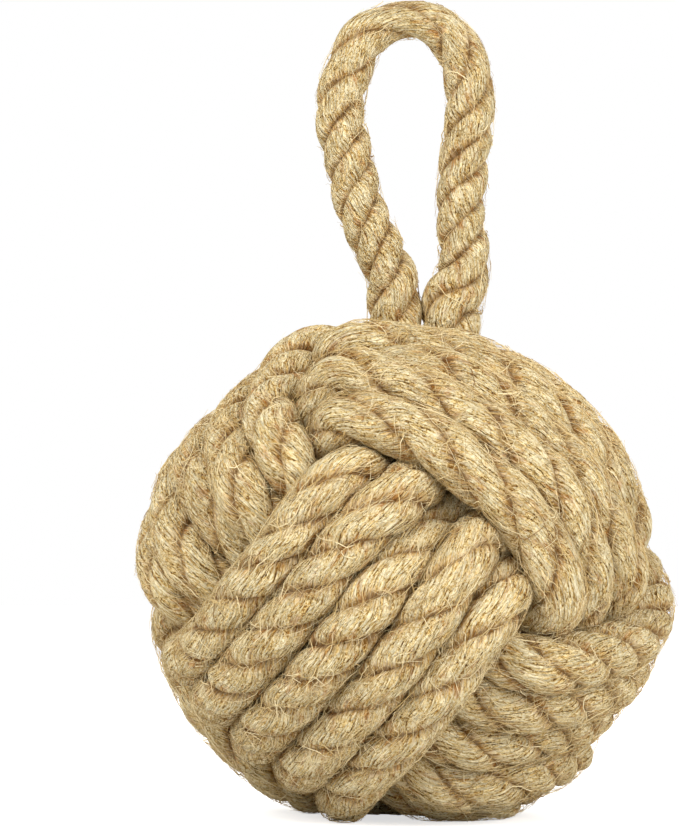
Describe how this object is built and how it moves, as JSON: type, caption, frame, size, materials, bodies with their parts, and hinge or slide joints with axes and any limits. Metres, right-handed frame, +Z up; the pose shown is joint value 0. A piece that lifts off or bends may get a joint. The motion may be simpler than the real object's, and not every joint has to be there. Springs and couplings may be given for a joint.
{
  "type": "rope knot doorstop",
  "caption": "Ball-shaped doorstop woven from thick jute rope round a heavy round weight, flat underneath, with a short rope loop standing up from its top as a handle.",
  "frame": {"origin": "the middle of the box's underside, on the surface that the knot stands on", "axes": "+Z up, along the handle; +Y away from the side that the picture shows; +X to that side's right"},
  "size_m": [0.173, 0.171, 0.2646],
  "materials": {
    "turns_rope": "matte",
    "handle_rope": "matte",
    "weight": "matte"
  },
  "bodies": {
    "knot": {"weight_ball": "weight", "first_turns": "turns_rope", "second_turns": "turns_rope", "third_turns": "turns_rope"},
    "handle": {"handle_loop": "handle_rope"}
  },
  "joints": [
    {"name": "handle_bend", "type": "hinge", "parent": "knot", "child": "handle", "pos_m": [0.00594, 0.01117, 0.17313], "axis": [1, 0, 0], "range_deg": [-75, 75], "stiffness_Nm_per_rad": 0.25}
  ]
}
